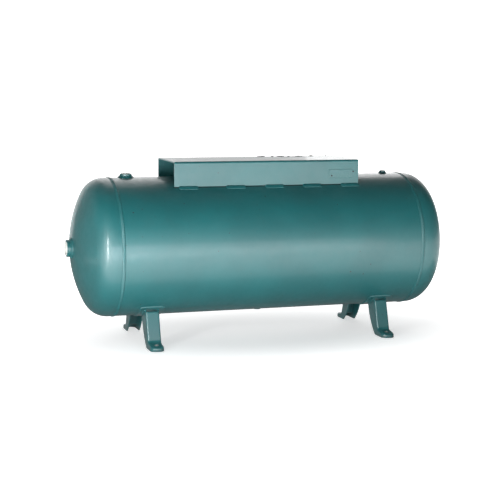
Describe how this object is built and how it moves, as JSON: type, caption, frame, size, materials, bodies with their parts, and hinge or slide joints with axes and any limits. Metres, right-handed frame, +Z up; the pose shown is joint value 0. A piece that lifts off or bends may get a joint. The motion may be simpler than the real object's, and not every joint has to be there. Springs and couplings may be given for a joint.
{
  "type": "horizontal air receiver tank",
  "caption": "Horizontal steel pressure tank with dished heads on pressed channel legs, with a mounting channel on top, threaded ports and a drain.",
  "frame": {"origin": "on the ground under the middle of the tank", "axes": "+X along the tank to the right, -Y the front, +Z up"},
  "size_m": [1.7616, 0.6144, 0.8008],
  "materials": {
    "green_paint": "glossy teal-green enamel on rolled and dished steel plate",
    "plate_paint": "glossy teal-green enamel on bent steel sheet",
    "leg_paint": "glossy teal-green enamel on pressed steel",
    "painted_weld": "rippled weld metal under the same enamel",
    "painted_fitting": "turned steel couplings under the same enamel",
    "painted_label": "thin blank plate painted over",
    "white_plastic": "white moulded thread protector",
    "grey_plastic": "pale grey moulded thread protector"
  },
  "bodies": {
    "root": {"shell": "green_paint", "left_head": "green_paint", "left_seam_weld": "painted_weld", "left_head_port": "painted_fitting", "left_head_port_weld": "painted_weld", "left_head_plug": "white_plastic", "right_head": "green_paint", "right_seam_weld": "painted_weld", "right_head_port": "painted_fitting", "right_head_port_weld": "painted_weld", "right_head_plug": "white_plastic", "long_seam_weld": "painted_weld", "top_plate": "plate_paint", "front_stitch_welds": "painted_weld", "rear_stitch_welds": "painted_weld", "front_left_pad": "leg_paint", "front_left_leg": "leg_paint", "front_right_pad": "leg_paint", "front_right_leg": "leg_paint", "rear_left_pad": "leg_paint", "rear_left_leg": "leg_paint", "rear_right_pad": "leg_paint", "rear_right_leg": "leg_paint", "top_left_port": "painted_fitting", "top_left_port_weld": "painted_weld", "top_left_plug": "grey_plastic", "top_right_port": "painted_fitting", "top_right_port_weld": "painted_weld", "drain_port": "painted_fitting", "drain_port_weld": "painted_weld", "data_plate": "painted_label"}
  },
  "joints": []
}
